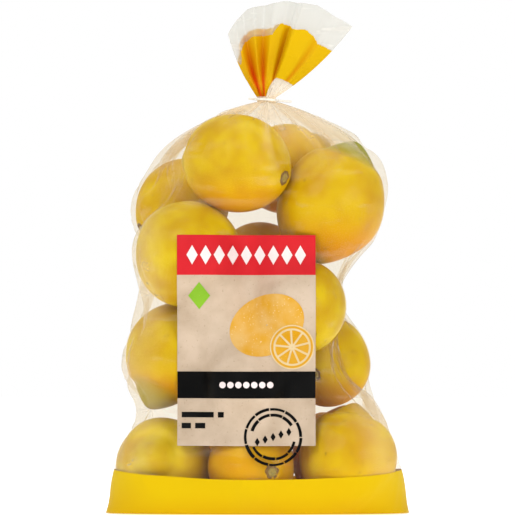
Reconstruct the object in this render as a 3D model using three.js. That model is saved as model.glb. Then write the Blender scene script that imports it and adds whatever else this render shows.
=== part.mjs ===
// A clear film bag of lemons: a printed film tube, sealed across its foot, filled with lemons and
// gathered into a neck by a flat tie, with the free mouth of the tube fanned out above it.
// Millimetres, +Z up, +Y away from the front. The origin is the middle of the foot, on the ground.

import * as THREE from "three";

const { degToRad, lerp, smoothstep } = THREE.MathUtils;

// The foot: a flat outline like an ellipse, with the ends of the seal standing out at its corners.
const FOOT_HALF_WIDTH = 91;
const FOOT_HALF_DEPTH = 41;
const FOOT_SQUARENESS = 2.2; // exponent of the outline: 2 is an ellipse
const CORNER_FLARE = 2; // how far the corners stick out past the wall above them
const CORNER_HEIGHT = 8;
const CORNER_SHARPNESS = 12;

// The neck, which stands a little right of the middle.
const NECK_X = 5.5;
const NECK_HEIGHT = 246.5;
const NECK_RADIUS = 6;
const NECK_LENGTH = 2.8; // straight stretch that the tie holds

// The fanned mouth above the neck.
const MOUTH_LONG = 60.5; // neck to rim, on its long right side
const MOUTH_SHORTER = 19.5; // how much shorter the left side is
const MOUTH_SHORT_SIDE = 3.2; // exponent: the higher, the narrower the short side
const MOUTH_LEFT_DEG = -24.5; // lean of the fan's two edges from upright, at the rim
const MOUTH_RIGHT_DEG = 47;
const MOUTH_SPREAD_DEG = 10; // how much wider they lean where they leave the neck
const MOUTH_THICKNESS = 7;
const MOUTH_THICK_FROM = 0.67; // share of the way up at which it has its full thickness
const PLEAT_DEPTH = 8;
const PLEAT_COUNT = 3.5;

// The tie: a band round the neck with two tails.
const TIE_REACH = [-11, 15]; // how far the tails reach left and right of the neck
const TIE_BAND = 1.3; // thickness of the band
const TIE_TAIL_DEPTH = 3.4;
const TIE_HEIGHT = 1.2;
const TIE_SLOPE_DEG = 4;
const TIE_GAP = 0.35;
const TIE_CURVE_SEGMENTS = 20;

// The lemons that the film is drawn over: centre, direction from stem end to tip, girth, body length.
const LEMONS = [
  { at: [-12.5, -27, 208.5], tip: [-0.83, 0.55, 0.05], girth: 58.5, length: 71 },
  { at: [44, -17, 185], tip: [0.38, 0.1, 0.92], girth: 63, length: 76 },
  { at: [-41, -26.5, 155], tip: [-0.35, 0.85, 0.35], girth: 63.5, length: 68 },
  { at: [-49.5, -5, 96], tip: [-0.42, -0.2, -0.88], girth: 57.5, length: 70 },
  { at: [-45, 29.5, 186], tip: [0.8, 0.3, 0.5], girth: 54, length: 64 },
  { at: [1, 27, 148], tip: [0.9, -0.2, 0.3], girth: 54, length: 62 },
  { at: [-55, -11, 29], tip: [-0.25, -0.92, 0.2], girth: 56, length: 65 },
  { at: [-3.5, -29, 27], tip: [-0.45, 0.88, 0.05], girth: 52, length: 58 },
  { at: [53.5, -22, 33.5], tip: [0.15, 0.25, 0.95], girth: 57, length: 66 },
  { at: [42, 18, 91], tip: [0.3, 0.9, 0.3], girth: 52, length: 58 },
  { at: [25, -28, 123.5], tip: [0.4, 0.85, -0.3], girth: 56, length: 62 },
  { at: [-6.5, -33.5, 79], tip: [0.5, 0.1, 0.85], girth: 49, length: 53 },
  { at: [17.5, 31, 207.5], tip: [0.8, 0.3, 0.5], girth: 54, length: 62 },
  { at: [-10, 31, 29], tip: [0.2, 0.5, 0.85], girth: 52, length: 58 },
  { at: [-9.5, 32.5, 89], tip: [0.6, -0.1, 0.8], girth: 52, length: 60 },
  { at: [45, 31, 35], tip: [0.3, -0.2, 0.93], girth: 50, length: 58 },
];

// How the film is drawn over them. Slack film sags in between the lemons, but stands out by itself
// at the foot and at the shoulder.
const FILM_OFF_LEMON = 0.5;
const TENSION_ROUND = 0.3; // pull round the bag, as a share of the pull along it
const GATHER_HEIGHT = 222; // above it the film is gathered, so its pull round the bag fades out
const SAG = 0.012; // 1/mm
const FOOT_PUFF = 0.025;
const FOOT_PUFF_FADES = [30, 50];
const SHOULDER_PUFF = 0.06;
const SHOULDER_PUFF_GROWS = [200, 215];
// On the left it is tucked in between two lemons: angle round the bag, height, reach and pull.
const TUCK = { angle: Math.PI, height: 57, wide: 0.55, tall: 12, pull: 0.08 };
const RELAX_PASSES = 1500;

// Fineness.
const COLUMNS = 72;
const WALL_RINGS = 42;
const WALL_RINGS_TOP = 230; // above it the rings lie closer
const GATHER_RINGS = 7;
const MOUTH_RINGS = 9;

const TAU = 2 * Math.PI;
const columns = Array.from({ length: COLUMNS }, (_, i) => (TAU * i) / COLUMNS);

// The bag's own centre line leans from the middle of the foot to the neck.
function centreX(z) {
  return NECK_X * smoothstep(z, 0, NECK_HEIGHT);
}

// Distance from the centre line, outwards at angle a and level z, to the far side of one lemon.
function reachOfLemon(lemon, a, z) {
  const tip = new THREE.Vector3(...lemon.tip).normalize();
  const from = new THREE.Vector3(centreX(z), 0, z).sub(new THREE.Vector3(...lemon.at));
  const way = new THREE.Vector3(Math.cos(a), Math.sin(a), 0);
  const across = lemon.girth / 2 + FILM_OFF_LEMON;
  const along = lemon.length / 2 + FILM_OFF_LEMON;
  const squash = 1 / along ** 2 - 1 / across ** 2;
  const [wayTip, fromTip] = [way.dot(tip), from.dot(tip)];
  const p = 1 / across ** 2 + squash * wayTip ** 2;
  const q = from.dot(way) / across ** 2 + squash * wayTip * fromTip;
  const s = from.lengthSq() / across ** 2 + squash * fromTip ** 2 - 1;
  const root = q * q - p * s;
  return root > 0 ? (-q + Math.sqrt(root)) / p : 0;
}

function reach(a, z) {
  return Math.max(0, ...LEMONS.map((lemon) => reachOfLemon(lemon, a, z)));
}

function footRadius(a) {
  const [x, y] = [Math.abs(Math.cos(a)), Math.abs(Math.sin(a))];
  const wall = FOOT_HALF_WIDTH - CORNER_FLARE;
  const n = FOOT_SQUARENESS;
  return ((x / wall) ** n + (y / FOOT_HALF_DEPTH) ** n) ** (-1 / n);
}

function cornerFlare(a) {
  return CORNER_FLARE * Math.abs(Math.cos(a)) ** CORNER_SHARPNESS;
}

// Levels of the rings: even up the wall, and closer where the film runs in to the neck.
const levels = [];
for (let k = 0; k <= WALL_RINGS; k++) {
  levels.push(WALL_RINGS_TOP * (k / WALL_RINGS));
}
for (let k = 1; k <= GATHER_RINGS; k++) {
  const share = Math.sin((Math.PI / 2) * (k / GATHER_RINGS));
  levels.push(lerp(WALL_RINGS_TOP, NECK_HEIGHT, share));
}

// Inward pull on slack film at level z; outward where it is negative.
function sag(z) {
  const foot = 1 - smoothstep(z, ...FOOT_PUFF_FADES);
  const shoulder = smoothstep(z, ...SHOULDER_PUFF_GROWS);
  return SAG * (1 - foot) * (1 - shoulder) - FOOT_PUFF * foot - SHOULDER_PUFF * shoulder;
}

function tuck(a, z) {
  const off = ((a - TUCK.angle) / TUCK.wide) ** 2 + ((z - TUCK.height) / TUCK.tall) ** 2;
  return TUCK.pull * Math.exp(-off);
}

// Where a straight chord from the point on the left to the point on the right would pass.
function chordRadius(left, right, turn) {
  return (2 * left * right * Math.cos(turn)) / (left + right);
}

// The film is a membrane held at the foot and at the neck, and kept outside every lemon.
function drawnFilm() {
  const last = levels.length - 1;
  const held = levels.map((z) => columns.map((a) => reach(a, z)));
  const r = levels.map((z, k) =>
    columns.map((a, i) => {
      const plain = lerp(footRadius(a), NECK_RADIUS, smoothstep(z, 0, NECK_HEIGHT));
      return Math.max(plain, held[k][i]);
    }),
  );
  r[0] = columns.map((a) => footRadius(a));
  r[last] = columns.map(() => NECK_RADIUS);
  const turn = TAU / COLUMNS;
  for (let pass = 0; pass < RELAX_PASSES; pass++) {
    for (let k = 1; k < last; k++) {
      const [down, up] = [levels[k] - levels[k - 1], levels[k + 1] - levels[k]];
      const [pullDown, pullUp] = [2 / (down * (down + up)), 2 / (up * (down + up))];
      const fade = 1 - smoothstep(levels[k], GATHER_HEIGHT, NECK_HEIGHT);
      for (let i = 0; i < COLUMNS; i++) {
        const [left, right] = [r[k][(i + COLUMNS - 1) % COLUMNS], r[k][(i + 1) % COLUMNS]];
        const pullRound = (2 * TENSION_ROUND * fade) / (r[k][i] * turn) ** 2;
        const pull =
          pullRound * chordRadius(left, right, turn) +
          pullDown * r[k - 1][i] +
          pullUp * r[k + 1][i] -
          sag(levels[k]) -
          tuck(columns[i], levels[k]);
        r[k][i] = Math.max(held[k][i], pull / (pullRound + pullDown + pullUp));
      }
    }
  }
  return r;
}

function wallRings() {
  return drawnFilm().map((radii, k) => {
    const z = levels[k];
    const flare = 1 - smoothstep(z, 0, CORNER_HEIGHT);
    return columns.map((a, i) => {
      const r = radii[i] + flare * cornerFlare(a);
      return new THREE.Vector3(centreX(z) + r * Math.cos(a), r * Math.sin(a), z);
    });
  });
}

// The mouth opens from the neck as a flat pleated fan. t runs from the neck, 0, to the rim, 1.
function mouthPoint(a, t) {
  const [across, through] = [Math.cos(a), Math.sin(a)];
  const share = (across + 1) / 2; // 0 at the fan's left edge, 1 at its right edge
  const spread = MOUTH_SPREAD_DEG * (1 - t);
  const lean = degToRad(lerp(MOUTH_LEFT_DEG - spread, MOUTH_RIGHT_DEG + spread, share));
  const long = (MOUTH_LONG - MOUTH_SHORTER * (1 - share) ** MOUTH_SHORT_SIDE) * t;
  const thick = (MOUTH_THICKNESS / 2) * smoothstep(t, 0, MOUTH_THICK_FROM);
  const half = NECK_RADIUS * (1 - t) ** 2 + thick;
  const pleat = PLEAT_DEPTH * t * Math.sin(TAU * PLEAT_COUNT * share) * Math.abs(through);
  return new THREE.Vector3(
    NECK_X + NECK_RADIUS * across + long * Math.sin(lean),
    through * half + pleat,
    NECK_HEIGHT + NECK_LENGTH + long * Math.cos(lean),
  );
}

function mouthRings() {
  return Array.from({ length: MOUTH_RINGS + 1 }, (_, k) =>
    columns.map((a) => mouthPoint(a, k / MOUTH_RINGS)),
  );
}

// A closed body from rings of points: a fan under the first ring, and a ladder over the last one,
// where each point is joined to its mirror image across the mouth.
function lofted(rings) {
  const points = rings.flat();
  const middle = points.length;
  points.push(new THREE.Vector3(0, 0, 0));
  const faces = [];
  const at = (k, i) => k * COLUMNS + (i % COLUMNS);
  for (let i = 0; i < COLUMNS; i++) {
    faces.push(middle, at(0, i + 1), at(0, i));
    for (let k = 0; k + 1 < rings.length; k++) {
      faces.push(at(k, i), at(k, i + 1), at(k + 1, i + 1));
      faces.push(at(k, i), at(k + 1, i + 1), at(k + 1, i));
    }
  }
  const top = rings.length - 1;
  for (let i = 0; i < COLUMNS / 2; i++) {
    const [back, backNext] = [at(top, i), at(top, i + 1)];
    const [front, frontNext] = [at(top, COLUMNS - i), at(top, COLUMNS - i - 1)];
    if (back !== front) faces.push(back, backNext, front);
    if (backNext !== frontNext) faces.push(backNext, frontNext, front);
  }
  const geometry = new THREE.BufferGeometry().setFromPoints(points);
  geometry.setIndex(faces);
  geometry.computeVertexNormals();
  return geometry;
}

function bag() {
  const film = new THREE.MeshStandardMaterial({ color: 0xdfb42a, roughness: 0.3, metalness: 0 });
  const mesh = new THREE.Mesh(lofted([...wallRings(), ...mouthRings()]), film);
  mesh.name = "bag";
  return mesh;
}

// The tie: a flat band round the neck whose two ends stick out as tails.
function tie() {
  const inner = NECK_RADIUS + TIE_GAP;
  const outer = inner + TIE_BAND;
  const half = TIE_TAIL_DEPTH / 2;
  const corner = Math.asin(half / outer);
  const shape = new THREE.Shape();
  shape.absarc(0, 0, outer, corner, Math.PI - corner, false);
  shape.lineTo(TIE_REACH[0], half);
  shape.lineTo(TIE_REACH[0], -half);
  shape.absarc(0, 0, outer, Math.PI + corner, TAU - corner, false);
  shape.lineTo(TIE_REACH[1], -half);
  shape.lineTo(TIE_REACH[1], half);
  shape.closePath();
  shape.holes.push(new THREE.Path().absarc(0, 0, inner, 0, TAU, true));
  const geometry = new THREE.ExtrudeGeometry(shape, {
    depth: TIE_HEIGHT,
    bevelEnabled: false,
    curveSegments: TIE_CURVE_SEGMENTS,
  });
  geometry.translate(0, 0, -TIE_HEIGHT / 2);
  const plastic = new THREE.MeshStandardMaterial({ color: 0xf2ece2, roughness: 0.35, metalness: 0 });
  const mesh = new THREE.Mesh(geometry, plastic);
  mesh.name = "tie";
  mesh.position.set(NECK_X, 0, NECK_HEIGHT + NECK_LENGTH / 2);
  mesh.rotation.y = degToRad(TIE_SLOPE_DEG);
  return mesh;
}

const lemonBag = new THREE.Group();
lemonBag.name = "lemon_bag";
lemonBag.add(bag(), tie());

export default lemonBag;
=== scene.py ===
"""The looks of a clear film bag of lemons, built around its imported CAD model.

The film is a thin sheet that a small simulation draws over the lemons. It starts on the CAD solid, holds
its printed foot and its gathered neck, and may fold but not stretch. Lengths are millimetres until a
mesh is made, when they become metres.
"""

import math

import bpy
import numpy as np
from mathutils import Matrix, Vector
from mathutils.bvhtree import BVHTree

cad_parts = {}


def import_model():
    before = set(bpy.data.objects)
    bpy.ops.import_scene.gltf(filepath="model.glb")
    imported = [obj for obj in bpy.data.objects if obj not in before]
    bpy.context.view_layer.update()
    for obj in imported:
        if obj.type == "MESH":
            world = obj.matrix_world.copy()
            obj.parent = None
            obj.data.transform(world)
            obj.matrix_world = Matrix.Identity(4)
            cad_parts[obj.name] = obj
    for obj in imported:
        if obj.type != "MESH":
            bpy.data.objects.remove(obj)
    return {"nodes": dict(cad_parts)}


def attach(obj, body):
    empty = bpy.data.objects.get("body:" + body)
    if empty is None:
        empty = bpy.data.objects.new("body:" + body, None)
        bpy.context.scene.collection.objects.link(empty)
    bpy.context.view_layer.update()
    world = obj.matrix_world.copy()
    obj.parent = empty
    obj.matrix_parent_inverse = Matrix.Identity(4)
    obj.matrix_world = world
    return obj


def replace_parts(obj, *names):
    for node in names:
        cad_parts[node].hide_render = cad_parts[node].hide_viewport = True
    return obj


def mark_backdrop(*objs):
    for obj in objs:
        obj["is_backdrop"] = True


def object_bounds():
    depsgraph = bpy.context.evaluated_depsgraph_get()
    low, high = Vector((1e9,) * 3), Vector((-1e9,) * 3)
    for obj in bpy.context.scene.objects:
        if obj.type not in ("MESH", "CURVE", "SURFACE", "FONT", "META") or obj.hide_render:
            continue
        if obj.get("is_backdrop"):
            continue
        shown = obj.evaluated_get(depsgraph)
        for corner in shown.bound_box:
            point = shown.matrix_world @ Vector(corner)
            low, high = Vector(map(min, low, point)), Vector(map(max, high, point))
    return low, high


MM = 0.001
TAU = 2 * math.pi
SEED = 7

# The view: a long lens, level with the lower half of the bag.
FRAME_WIDTH = 309.0  # what the view takes in, at the bag's middle
LOOK_AT = (0.0, 0.0, 153.3)
EYE = (0.0, -3500.0, 100.0)
SENSOR = 36.0

# The lemons, as in the CAD solid: centre, direction from stem end to tip, girth and body length.
# green is how unripe the ends are, and the number after it how far the peel goes towards orange, with
# painted orange shade added towards each lemon's underside; below 0 the fruit stays yellow underneath. stem
# is given where the stem end doesn't lie opposite the tip.
LEMONS = [
    dict(
        at=(-12.5, -27, 208.5), tip=(-0.83, 0.55, 0.05), girth=58.5, length=71, green=0.2, orange_and_shade=0.1,
        stem=(0.83, -0.49, -0.25),
    ),
    dict(at=(44, -17, 185), tip=(0.38, 0.1, 0.92), girth=63, length=76, green=1, orange_and_shade=0.25),
    dict(at=(-41, -26.5, 155), tip=(-0.35, 0.85, 0.35), girth=63.5, length=68, green=0.3, orange_and_shade=-0.4),
    dict(at=(-49.5, -5, 96), tip=(-0.42, -0.2, -0.88), girth=57.5, length=70, green=0.8, orange_and_shade=0.1),
    dict(at=(-45, 29.5, 186), tip=(0.8, 0.3, 0.5), girth=54, length=64, green=0.3, orange_and_shade=0.2),
    dict(at=(1, 27, 148), tip=(0.9, -0.2, 0.3), girth=54, length=62, green=0.2, orange_and_shade=0.5),
    dict(at=(-55, -11, 29), tip=(-0.25, -0.92, 0.2), girth=56, length=65, green=0.15, orange_and_shade=0.0),
    dict(at=(-3.5, -29, 27), tip=(-0.45, 0.88, 0.05), girth=52, length=58, green=0.3, orange_and_shade=0.55),
    dict(at=(53.5, -22, 33.5), tip=(0.15, 0.25, 0.95), girth=57, length=66, green=0.1, orange_and_shade=0.15),
    dict(at=(42, 18, 91), tip=(0.3, 0.9, 0.3), girth=52, length=58, green=0.1, orange_and_shade=0.1),
    dict(at=(25, -28, 123.5), tip=(0.4, 0.85, -0.3), girth=56, length=62, green=0.3, orange_and_shade=-0.6),
    dict(at=(-6.5, -33.5, 79), tip=(0.5, 0.1, 0.85), girth=49, length=53, green=0.2, orange_and_shade=0.5),
    dict(at=(17.5, 31, 207.5), tip=(0.8, 0.3, 0.5), girth=54, length=62, green=0.4, orange_and_shade=0.3),
    dict(at=(-10, 31, 29), tip=(0.2, 0.5, 0.85), girth=52, length=58, green=0.2, orange_and_shade=0.6),
    dict(at=(-9.5, 32.5, 89), tip=(0.6, -0.1, 0.8), girth=52, length=60, green=0.3, orange_and_shade=0.3),
    dict(at=(45, 31, 35), tip=(0.3, -0.2, 0.93), girth=50, length=58, green=0.2, orange_and_shade=0.9),
]

# The film tube. Its girth is the same all the way up, so it folds wherever the bag is slimmer.
FILM_GIRTH = 470.0
FILM_OFF_PEEL = 0.5
FILM_FLOOR = 0.25  # the lowest that loose film comes
FOOT_EDGE_FRONT, FOOT_EDGE_CORNER = 21.2, 26.6  # how high the printed band reaches
COLUMNS = 240
FOOT_ROWS = 14
WALL_ROWS = 140
NECK_X = 5.5
NECK_Z = 246.5
NECK_LENGTH = 2.8
NECK_RADIUS = 5.9
NECK_PLEATING = 0.14  # half pleats in the neck for each column of film
PUSH = 0.35  # how much a squeezed step of the film pushes back, against 1 when it is pulled
PLEAT_LIMIT = 1.35  # most length round the tube that shows as folds; near the neck more is gathered
SMOOTHING = 0.02
SPARE_HEIGHT = 1.004
BUCKLE_ROWS = 9
BUCKLE = 0.8  # how far the first dents go that tell spare film which way to fold
# Two rounds of settling, coarse then fine: passes, inward step, columns over which the hold is evened.
COARSE_ROUND = (260, 0.03, 3)
FINE_ROUND = (220, 0.015, 6)
FLATTEN_PASSES = 60
FLATTEN_SHARE = 0.6
# Where hardly any spare film gathers: behind the label and over the uppermost lemon. Angles are in
# degrees round the bag, and spare is the share that is kept out.
LABEL_HALF_ANGLE, LABEL_FADE, LABEL_SPARE = 40.0, 12.0, 0.96
LABEL_TOP = 172.0
TOP_TURN, TOP_FLAT_TO, TOP_FADED_AT, TOP_SPARE = 27.0, 55.0, 80.0, 0.85
# How firmly the film keeps to its form in each pass, as a share of the way back to it.
FOOT_HOLD, CORNER_HOLD, OUTLINE_HOLD, NECK_HOLD = 0.6, 0.5, 0.25, 0.35
# The printed panel on the front: its middle and size.
LABEL_X, LABEL_Z = -6.6, 103.5
LABEL_WIDE, LABEL_TALL = 82.0, 124.8


def unit(v):
    """The vectors v at length 1."""
    v = np.asarray(v, float)
    return v / np.linalg.norm(v, axis=-1, keepdims=True)


def ramp(x, low, high):
    """0 below low, 1 above high, smooth between."""
    t = np.clip((np.asarray(x, float) - low) / (high - low), 0, 1)
    return t * t * (3 - 2 * t)


# ---- lemons ----

# Places and widths on the peel are in 1 - cos(angle from the tip, or from the stem).
BODY_SHORTER = 3.0  # the rounded body ends this far inside half the length
NIPPLE_HEIGHT, NIPPLE_WIDTH = 5.5, 0.034
NIPPLE_FLANK = 0.9  # a lower power makes the nipple more pointed
HOLLOW_DEPTH, HOLLOW_AT, HOLLOW_WIDTH = 1.2, 0.13, 0.06  # round the nipple
STEM_NECK, STEM_NECK_WIDTH = 2.0, 0.05
STEM_DIMPLE, STEM_DIMPLE_WIDTH = 1.6, 0.009
LUMP, LUMP_CLOSENESS = 0.55, 2.2
STEM_BUTTON = 4.4


def lump_waves(index):
    """Three slow waves over the peel, different on each lemon."""
    rng = np.random.default_rng(SEED + index)
    return rng.normal(size=(3, 3)) * LUMP_CLOSENESS, rng.uniform(0, TAU, 3)


def stem_way(lemon):
    """Unit direction from the lemon's centre to its stem, which need not lie opposite its tip."""
    return unit(lemon.get("stem", -np.array(lemon["tip"], float)))


def peel_radius(lemon, index, way, dimple=STEM_DIMPLE):
    """Distance from the lemon's centre to its peel in the directions way."""
    t = way @ unit(lemon["tip"])
    off_stem = 1 - way @ stem_way(lemon)
    across, along = lemon["girth"] / 2, lemon["length"] / 2 - BODY_SHORTER
    body = 1 / np.sqrt((1 - t * t) / across**2 + t * t / along**2)
    nipple = NIPPLE_HEIGHT * np.exp(-(((1 - t) / NIPPLE_WIDTH) ** NIPPLE_FLANK))
    hollow = -HOLLOW_DEPTH * np.exp(-(((1 - t - HOLLOW_AT) / HOLLOW_WIDTH) ** 2))
    stem = STEM_NECK * np.exp(-off_stem / STEM_NECK_WIDTH)
    stem = stem - dimple * np.exp(-((off_stem / STEM_DIMPLE_WIDTH) ** 2))
    waves, phases = lump_waves(index)
    lumps = LUMP * np.sin(way @ waves.T + phases).sum(-1)
    return body + nipple + hollow + stem + lumps


# ---- the film's form ----

FAR_OUT = 200.0  # outside the bag at any level
SHOULDER_Z = 215.0  # the film's first levels lie closer together above this
LEMON_REACH = 6.0  # no peel lies further than this outside half a lemon's length
TINY = 1e-6


def centre_x(z):
    """The bag's centre line leans to the neck."""
    return NECK_X * ramp(z, 0, NECK_Z)


def cad_profile(bag, z_values, angles):
    """Radius of the CAD bag round its centre line, at each level and angle."""
    verts = [v.co / MM for v in bag.data.vertices]
    bag.data.calc_loop_triangles()
    tree = BVHTree.FromPolygons(verts, [t.vertices[:] for t in bag.data.loop_triangles])
    radius = np.zeros((len(z_values), len(angles)))
    for j, z in enumerate(z_values):
        for i, a in enumerate(angles):
            way = Vector((math.cos(a), math.sin(a), 0))
            far = Vector((float(centre_x(z)), 0, float(z))) + way * FAR_OUT
            hit = tree.ray_cast(far, -way)
            radius[j, i] = FAR_OUT - hit[3] if hit[0] else NECK_RADIUS
    return radius


def film_start(bag):
    """Rows of points on the CAD bag, evenly spaced along the film, from the foot to the neck."""
    angles = TAU * np.arange(COLUMNS) / COLUMNS
    lower, upper = np.linspace(0.3, SHOULDER_Z, 110), np.linspace(SHOULDER_Z + 1, NECK_Z, 50)
    z_values = np.concatenate([lower, upper])
    radius = cad_profile(bag, z_values, angles)
    x = centre_x(z_values)[:, None] + radius * np.cos(angles)
    y = radius * np.sin(angles)
    z = np.repeat(z_values[:, None], COLUMNS, 1)
    fine = np.stack([x, y, z], -1)
    steps = np.linalg.norm(np.diff(fine, axis=0), axis=-1)
    run = np.concatenate([np.zeros((1, COLUMNS)), np.cumsum(steps, 0)])
    rows = []
    foot = np.linspace(0, 1, FOOT_ROWS + 1)[:-1]
    wall = np.linspace(0, 1, WALL_ROWS + 1)
    for i in range(COLUMNS):
        total = run[-1, i]
        corner = math.cos(angles[i]) ** 4
        height = FOOT_EDGE_FRONT + (FOOT_EDGE_CORNER - FOOT_EDGE_FRONT) * corner
        band = np.interp(height, z_values, run[:, i])
        at = np.concatenate([foot * band, band + wall * (total - band)])
        rows.append(np.stack([np.interp(at, run[:, i], fine[:, i, k]) for k in range(3)], -1))
    return np.stack(rows, 1)


def pleated_ring(angles):
    """The gathered neck: the film runs in and out many times within the tie."""
    rng = np.random.default_rng(SEED)
    folds = np.cumsum(rng.uniform(0.6, 1.4, len(angles)))
    wave = np.abs(((folds * NECK_PLEATING) % 2) - 1)
    radius = NECK_RADIUS * (0.45 + 0.55 * wave)
    return np.stack(
        [NECK_X + radius * np.cos(angles), radius * np.sin(angles), np.full(len(angles), NECK_Z)], -1
    )


def pull(p, a, b, rest, push):
    """Moves the points a and b of p towards their rest distance; push is the share when squeezed."""
    gap = p[b] - p[a]
    length = np.linalg.norm(gap, axis=-1)
    off = length - rest
    share = np.where(off > 0, 0.5, 0.5 * push) * off / np.maximum(length, TINY)
    move = gap * share[..., None]
    p[a] += move
    p[b] -= move


def keep_outside(p):
    """Pushes points of the film out of every lemon."""
    flat = p.reshape(-1, 3)
    for index, lemon in enumerate(LEMONS):
        off = flat - np.array(lemon["at"], float)
        near = np.einsum("ij,ij->i", off, off) < (lemon["length"] / 2 + LEMON_REACH) ** 2
        found = np.nonzero(near)[0]
        if not len(found):
            continue
        away = off[found]
        far = np.linalg.norm(away, axis=1)
        way = away / far[:, None]
        out = peel_radius(lemon, index, way, dimple=0) + FILM_OFF_PEEL
        inside = far < out
        hit = found[inside]
        flat[hit] += way[inside] * (out - far)[inside][:, None]
    flat[:, 2] = np.maximum(flat[:, 2], FILM_FLOOR)


def rest_round(p, girth):
    """Rest length of each step round the tube: what it measures, plus its share of the spare film."""
    step = np.linalg.norm(np.roll(p, -1, 1) - p, axis=-1)
    mid = (np.roll(p, -1, 1) + p) / 2
    z = mid[..., 2]
    turned = np.degrees(np.arctan2(mid[..., 0] - centre_x(z), -mid[..., 1]))
    edge = (LABEL_HALF_ANGLE - LABEL_FADE, LABEL_HALF_ANGLE + LABEL_FADE)
    flat_front = (1 - ramp(np.abs(turned), *edge)) * (1 - ramp(z, LABEL_TOP - 10, LABEL_TOP + 15))
    flat_top = 1 - ramp(np.abs(turned + TOP_TURN), TOP_FLAT_TO, TOP_FADED_AT)
    flat_top *= ramp(z, LABEL_TOP, 185) * (1 - ramp(z, 234, 241))
    share = 1 - np.maximum(LABEL_SPARE * flat_front, TOP_SPARE * flat_top)
    spare = np.maximum(girth - step.sum(1, keepdims=True), 0)
    return np.minimum(step + spare * share / share.sum(1, keepdims=True), step * PLEAT_LIMIT)


def hold_weights(form):
    """How firmly each point keeps to the form, and how firmly its neighbourhood does.

    The ramps run over levels and half widths in millimetres.
    """
    half = np.abs(form[..., 0] - centre_x(form[..., 2]))
    widest = half.max(1, keepdims=True)
    z = form[..., 2]
    foot = FOOT_HOLD * (1 - ramp(z, 27, 42))
    corner = CORNER_HOLD * ramp(half, 38, 70) * (1 - ramp(z, 26, 50))
    outline = OUTLINE_HOLD * ramp(half / widest, 0.84, 0.98) * ramp(z, 45, 60)
    neck = NECK_HOLD * ramp(z, 203, 220)
    return np.maximum(foot, corner)[..., None], np.maximum(outline, neck)[..., None]


def evened(field, reach):
    """The field's mean over its neighbours round the tube."""
    return sum(np.roll(field, k, 1) for k in range(-reach, reach + 1)) / (2 * reach + 1)


def outward(p):
    """Level unit directions from the bag's centre line to each point."""
    way = p[..., :2] - np.stack([centre_x(p[..., 2]), np.zeros(p.shape[:2])], -1)
    return way / np.maximum(np.linalg.norm(way, axis=-1, keepdims=True), TINY)


def settle(p, form, rest_u, rest_v, passes, inward, reach):
    """Draws the film p in round the lemons, with its steps kept to their rest lengths.

    rest_u is round the tube and rest_v up it. Each pass moves the film in by inward, then lets it
    pull itself even, its steps taken in groups that share no point.
    """
    rows, columns = p.shape[:2]
    held_foot, held_neck = p[0].copy(), p[-1].copy()
    diagonal = np.sqrt(((rest_u[:-1] + rest_u[1:]) / 2) ** 2 + rest_v**2)
    firm, loose = hold_weights(form)
    even = np.arange(0, columns, 2)
    odd = np.arange(1, columns, 2)
    row_all = np.arange(rows)
    here = np.arange(columns)
    for _ in range(passes):
        p[1:-1, :, :2] -= outward(p)[1:-1] * inward
        p += firm * (form - p) + loose * evened(form - p, reach)
        for start in (even, odd):
            a = np.ix_(row_all, start)
            b = np.ix_(row_all, (start + 1) % columns)
            pull(p, a, b, rest_u[:, start], PUSH)
        for parity in (0, 1):
            lower = np.arange(parity, rows - 1, 2)
            a = np.ix_(lower, here)
            pull(p, a, np.ix_(lower + 1, here), rest_v[lower], PUSH)
            pull(p, a, np.ix_(lower + 1, (here + 1) % columns), diagonal[lower], PUSH / 2)
            b = np.ix_(lower, (here + 1) % columns)
            pull(p, b, np.ix_(lower + 1, here), diagonal[lower], PUSH / 2)
        mean = (np.roll(p, 1, 1) + np.roll(p, -1, 1)) / 2
        p[1:-1] += SMOOTHING * (mean - p)[1:-1]
        mean = (p[:-2] + p[2:]) / 2
        p[1:-1] += SMOOTHING * (mean - p[1:-1])
        keep_outside(p)
        p[0], p[-1] = held_foot, held_neck
    return p


def flatten_label(p):
    """The printed panel is stiffer than the film round it, so its small wrinkles go."""
    for _ in range(FLATTEN_PASSES):
        mean = (np.roll(p, 1, 1) + np.roll(p, -1, 1))[1:-1] / 4 + (p[:-2] + p[2:]) / 4
        off_x = np.abs(p[1:-1, :, 0] - LABEL_X) - LABEL_WIDE / 2
        off_z = np.abs(p[1:-1, :, 2] - LABEL_Z) - LABEL_TALL / 2
        firm = (1 - ramp(off_x, -1, 7)) * (1 - ramp(off_z, -1, 7)) * (p[1:-1, :, 1] < 0)
        p[1:-1] += FLATTEN_SHARE * firm[..., None] * (mean - p[1:-1])
        keep_outside(p)
    return p


def finer(p):
    """Twice the rows and columns."""
    wide = np.empty((p.shape[0], p.shape[1] * 2, 3))
    wide[:, ::2] = p
    wide[:, 1::2] = (p + np.roll(p, -1, 1)) / 2
    tall = np.empty((p.shape[0] * 2 - 1, wide.shape[1], 3))
    tall[::2] = wide
    tall[1::2] = (wide[1:] + wide[:-1]) / 2
    return tall


def buckles(rows, columns):
    """Random dents, long up the film and short round it."""
    noise = np.random.default_rng(SEED + 100).normal(size=(BUCKLE_ROWS, columns))
    noise = (noise + np.roll(noise, 1, 1)) / 2
    at = np.linspace(0, BUCKLE_ROWS - 1, rows)
    return np.stack([np.interp(at, np.arange(BUCKLE_ROWS), noise[:, i]) for i in range(columns)], 1)


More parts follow.
